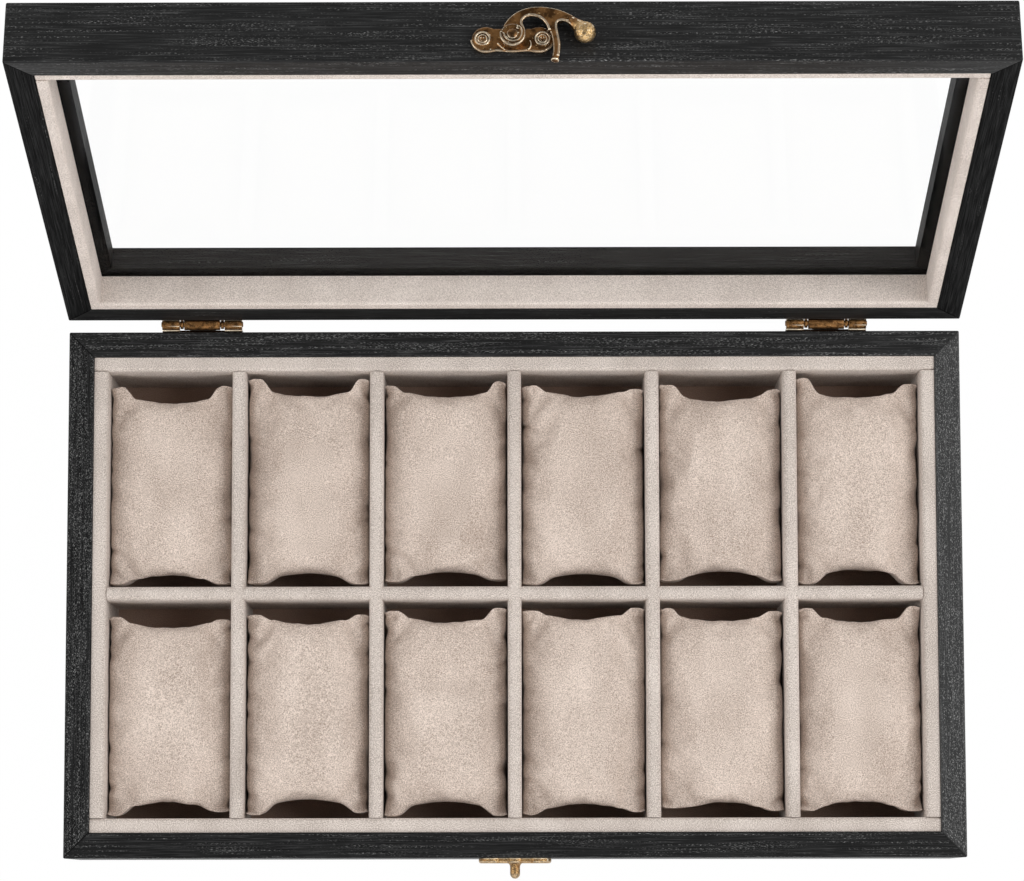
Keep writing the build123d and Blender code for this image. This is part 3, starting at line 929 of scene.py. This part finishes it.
def hollow(piece):
    """Hollow the hook a little underneath, so that it clears the screws as it swings."""
    flat = lid_face.inverted()
    for vert in piece.data.vertices:
        place = flat @ vert.co
        away = place.xy.length / MM
        room = smooth_step(away, *hollow_begins) * (1.0 - smooth_step(away, *hollow_ends))
        if room > 0.0:
            place.z = max(place.z, (hook_under + hollow_depth * room) * MM)
            vert.co = lid_face @ place


castings = {
    # rounds of smoothing, what melts in, what is laid on
    "swing_hook": (20, (neck, finger_bead), (boss_rim, arm_rim, scroll)),
    "hook_rivet": (18, (), ()),
    "clasp_plate": (8, (), (plate_rim, left_ridge, right_ridge, *screw_rings(2.40, 0.42))),
    "clasp_screws": (2, (), screw_rings(1.45, 0.22)),
    "catch_plate": (8, (), ()),
}
for node, facts in castings.items():
    finish = catch_bronze if node == "catch_plate" else cast_bronze
    piece = dressed(cast_copy(node, cast_cube, *facts), node, finish)
    if node == "swing_hook":
        peen(piece, ball_centre, ball_radius)
        hollow(piece)
    print(node, "faces:", len(piece.data.polygons))

# %% [markdown]
# ## A stuffed pillow
#
# Each pillow is a tube of suede, stuffed hard, and sewn shut at both ends. It is pressed
# between the dividers, so its sides are nearly flat and its crown is wide. Each seam draws
# in at its middle, the waist, and leaves an ear at either corner, which the dividers push
# up. A crease runs in from each ear, stitches pucker the seam, and the cloth gathers in
# small folds along the sides.
#
# No two pillows are sewn alike, so a table gives both ends of each, back and front: how far
# from the pillow's middle the left ear, the waist and the right ear lie, in millimetres.
# Noise with a seed of its own for each pillow places the folds.
#
# The tube starts as a box whose two ends are taken off and pinched shut, which merges the
# top and bottom rows of vertices into one seam.

# %% Pillow sizes
pillow_cuts = {"x": 31, "y": 49, "z": 11}
row_crowding = 1.35
section_power = 12.0
upper_end_power, lower_end_power, end_round = 15.0, 3.5, 0.42
dome_across, dome_power, dome_along = 1.8 * MM, 2.5, 1.2 * MM
waist_rise, ear_rise, rise_from = 14.5 * MM, 18.2 * MM, 0.6
waist_curve, ear_corner = 1.1 * MM, 0.6 * MM
# Where the ears begin and how wide their slope is, at the back and at the front.
ear_inner, ear_slope = (14.4 * MM, 12.2 * MM), (4.2 * MM, 6.6 * MM)
ear_change = 2.2 * MM
pinch_from = 0.62
crease_depth, crease_width, crease_slant = 1.1 * MM, 2.8 * MM, 20.0 * MM
crease_tip, crease_spread, crease_steps = 0.35, 5.0, (0.70, 0.90)
pucker_depth, pucker_spacing, pucker_width = 1.0 * MM, 6.0 * MM, 0.12
pucker_steps = (0.86, 0.96)
gather_depth, gather_spacing, gather_width = 1.0 * MM, 6.5 * MM, 0.30
gather_reach, gather_slant, gather_pull = 7.0 * MM, 0.5, 0.7
gather_height = (0.2, 0.7)
lump_height, lump_size = 1.3 * MM, 26 * MM
# Far apart in the noise, so that the two ends and the two sides differ.
end_row, side_row, pucker_row, gather_row, lump_row = 3.1, 2.3, 7.3, 5.7, 10
seed_step = 1.7
pillow_ends = {
    # back end and front end: left ear, waist, right ear
    "pillow_back_1": ((36.1, 30.4, 36.4), (40.1, 36.4, 39.8)),
    "pillow_back_2": ((39.1, 33.0, 39.0), (39.8, 35.9, 39.9)),
    "pillow_back_3": ((36.7, 32.7, 38.1), (39.1, 35.4, 38.4)),
    "pillow_back_4": ((36.4, 32.6, 34.9), (40.4, 36.3, 40.1)),
    "pillow_back_5": ((36.8, 31.1, 34.8), (38.9, 35.4, 39.0)),
    "pillow_back_6": ((39.1, 32.2, 37.0), (40.2, 34.6, 40.3)),
    "pillow_front_1": ((35.4, 31.8, 34.6), (40.1, 35.1, 38.6)),
    "pillow_front_2": ((36.1, 32.9, 36.4), (39.8, 34.4, 39.1)),
    "pillow_front_3": ((37.5, 33.5, 38.6), (40.6, 35.3, 40.3)),
    "pillow_front_4": ((37.8, 34.6, 38.5), (40.0, 36.1, 38.9)),
    "pillow_front_5": ((38.4, 34.1, 37.2), (37.4, 35.5, 38.6)),
    "pillow_front_6": ((38.3, 33.6, 39.0), (38.6, 35.2, 38.7)),
}
print("pillows to sew:", len(pillow_ends))

# %% The shape of one pillow
def seam_length(x, lengths, half, inner, outer):
    """How far from the middle the seam lies at x: drawn in at the waist, out at the ears."""
    left, waist, right = lengths
    ear = left if x < 0.0 else right
    ear -= ear_corner * smooth_step(abs(x), half.x - 2.0 * ear_corner, half.x)
    waist += waist_curve * (x / inner) ** 2
    return waist + (ear - waist) * smooth_step(abs(x), inner, outer)


def stuffed_tube(u, v, w, half):
    """A point of the two-unit box on the tube: how far across, how high, and how full it is."""
    reach = (abs(u) ** section_power + abs(w) ** section_power) ** (-1.0 / section_power)
    end_power = upper_end_power if w > 0.0 else lower_end_power
    full = max(1.0 - abs(v) ** end_power, 0.0) ** end_round
    dome = (dome_across * abs(u) ** dome_power + dome_along * v * v) * max(w, 0.0)
    return half.x * u * reach, half.z * w * reach - dome, full


def folds(row, seed, spot, spacing, width):
    """One in the middle of a fold and nought between folds, which come at uneven places."""
    wave = noise.noise(Vector((row, seed, spot / spacing)))
    return max(0.0, 1.0 - abs(wave) / width)


def crease(x, v, inner):
    """How deep the crease is that runs in from an ear, widening on its way."""
    from_end = 1.0 - abs(v)
    off = abs(abs(x) - inner - crease_slant * from_end)
    narrow = crease_width * min(1.0, crease_tip + crease_spread * from_end)
    return crease_depth * math.exp(-(off / narrow) ** 2) * smooth_step(abs(v), *crease_steps)


def pucker(x, v, end, seed):
    """How deep the cloth is drawn in by the stitches of a seam."""
    depth = pucker_depth * folds(pucker_row * end, seed, x, pucker_spacing, pucker_width)
    return depth * smooth_step(abs(v), *pucker_steps)


def gather(x, y, w, half, side, seed):
    """How deep the folds are that come down a side."""
    inwards = half.x - abs(x)
    spot = y + gather_slant * inwards
    depth = gather_depth * folds(gather_row * side, seed, spot, gather_spacing, gather_width)
    near = smooth_step(inwards, gather_reach, 0.0) * smooth_step(w, *gather_height)
    return depth * near


def pillow_point(spot, half, seed, ends):
    """Move a point of the two-unit box to the surface of the pillow."""
    u, v, w = spot
    side, end, top = (math.copysign(1.0, value) for value in spot)
    at = 0 if end > 0.0 else 1
    lengths = [length * MM for length in ends[at]]
    waist = lengths[1]
    v = end * (1.0 - (1.0 - abs(v)) ** row_crowding)
    x, level, full = stuffed_tube(u, v, w, half)
    change = noise.noise(Vector((end_row * end, seed, side_row * side)))
    inner = ear_inner[at] + ear_change * change
    outer = inner + ear_slope[at]
    seam = waist_rise + (ear_rise - waist_rise) * smooth_step(abs(x), rise_from * inner, outer)
    drawn = seam_length(x, lengths, half, inner, outer) - waist
    y = v * (waist + drawn * smooth_step(abs(v), pinch_from, 1.0))
    fold = gather(x, y, w, half, side, seed)
    lump = lump_height * noise.noise(Vector((x, y, seed * lump_row * MM)) / lump_size)
    dented = lump - crease(x, v, inner) - pucker(x, v, end, seed)
    height = level - seam + top * dented - fold
    return Vector((x - side * gather_pull * fold, y, seam + height * full))


# %% The tube of one pillow
nearly_along, nearly_end = 0.9, 0.999
seam_weld = 0.05 * MM


def split_edges(shape, direction, cuts):
    """Cut every edge that runs along one axis."""
    edges = [
        edge for edge in shape.edges
        if abs((edge.verts[0].co - edge.verts[1].co).normalized()[direction]) > nearly_along
    ]
    bmesh.ops.subdivide_edges(shape, edges=edges, cuts=cuts, use_grid_fill=True)


def pillow_form(node, seed):
    """The stuffed tube at the place of one packed pillow, before it is blown up."""
    low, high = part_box(node)
    middle, half = (low + high) / 2, (high - low) / 2
    shape = bmesh.new()
    bmesh.ops.create_cube(shape, size=2.0)
    for direction, axis in enumerate("xyz"):
        split_edges(shape, direction, pillow_cuts[axis])
    ends = [face for face in shape.faces if abs(face.normal.y) > nearly_along]
    bmesh.ops.delete(shape, geom=ends, context="FACES")
    held = shape.verts.layers.deform.verify()
    for vert in shape.verts:
        if abs(vert.co.y) > nearly_end:
            vert[held][0] = 1.0
        vert.co = pillow_point(vert.co, half, seed, pillow_ends[node]) + middle
    bmesh.ops.remove_doubles(shape, verts=shape.verts, dist=seam_weld)
    bmesh.ops.recalc_face_normals(shape, faces=shape.faces)
    return shape


pillows = {}
for number, node in enumerate(sorted(pillow_ends), 1):
    name = f"{node}_cushion"
    pillows[node] = new_object(name, made_mesh(name, pillow_form(node, seed_step * number)))
    pillows[node].vertex_groups.new(name="seam")
print("pillows sewn:", len(pillows))

# %% [markdown]
# ## Blowing the pillows up
#
# Real cloth hangs in folds that nobody draws. So a cloth simulation blows each tube up a
# little: the seams are held still, the cloth is cut slightly too large, and small folds
# come by themselves. Each point may only move a little and is kept inside its bay, and the
# result is written into the mesh, so nothing has to be simulated again.

# %% Blow the pillows up
cloth_frames = 10
cloth_pressure = 5.0
cloth_growth = -0.03
largest_move = 2.0 * MM
end_room, crown_room = 1.3 * MM, 1.2 * MM


def add_cloth(pillow):
    """Give a pillow suede-like cloth, cut a little large and blown up from inside."""
    cloth = pillow.modifiers.new("cloth", "CLOTH")
    settings = cloth.settings
    settings.quality = 5
    settings.mass = 0.25
    settings.tension_stiffness = 25
    settings.compression_stiffness = 12
    settings.shear_stiffness = 8
    settings.bending_stiffness = 1.2
    settings.tension_damping = 15
    settings.use_pressure = True
    settings.uniform_pressure_force = cloth_pressure
    settings.shrink_min = cloth_growth
    settings.vertex_group_mass = "seam"
    settings.effector_weights.gravity = 0.0
    cloth.collision_settings.use_collision = False
    cloth.point_cache.frame_start = 1
    cloth.point_cache.frame_end = cloth_frames


def keep_inside(mesh, start, node):
    """Cap how far each point has moved, and press it flat where the bay stops it."""
    low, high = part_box(node)
    low, high = low - Vector((0.0, end_room, 0.0)), high + Vector((0.0, end_room, crown_room))
    for vert, before in zip(mesh.vertices, start):
        move = vert.co - before
        if move.length > largest_move:
            vert.co = before + move * (largest_move / move.length)
        for axis in range(3):
            vert.co[axis] = min(max(vert.co[axis], low[axis]), high[axis])


starts = {
    node: [vert.co.copy() for vert in pillow.data.vertices]
    for node, pillow in pillows.items()
}
for pillow in pillows.values():
    add_cloth(pillow)
for step in range(1, cloth_frames + 1):
    bpy.context.scene.frame_set(step)
graph = bpy.context.evaluated_depsgraph_get()
for node, pillow in pillows.items():
    start = starts[node]
    blown = bpy.data.meshes.new_from_object(pillow.evaluated_get(graph))
    pillow.modifiers.clear()
    pillow.data = blown
    moved = max((vert.co - before).length for vert, before in zip(blown.vertices, start))
    keep_inside(blown, start, node)
    print(node, "swelled by up to", round(moved / MM, 1), "mm")
bpy.context.scene.frame_set(1)

# %% [markdown]
# ## Finishing the pillows
#
# Every pillow gets the pillow suede with the noise shifted, so that no two look alike. One
# level of subdivision rounds the folds off. Each rides on its own body, since it lifts out
# of its bay.

# %% Dress the pillows
shift_step = 0.9
for number, (node, pillow) in enumerate(pillows.items(), 1):
    finish = suede_finish(f"suede_{node}", *suede_colours["pillow"], shift_step * number)
    pillow.vertex_groups.clear()
    pillow.data.materials.clear()
    pillow.data.materials.append(finish)
    pillow.data.shade_smooth()
    finer = pillow.modifiers.new("finer", "SUBSURF")
    finer.levels = finer.render_levels = 1
    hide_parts(node)
    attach(pillow, node)
print("pillows dressed:", len(pillows))
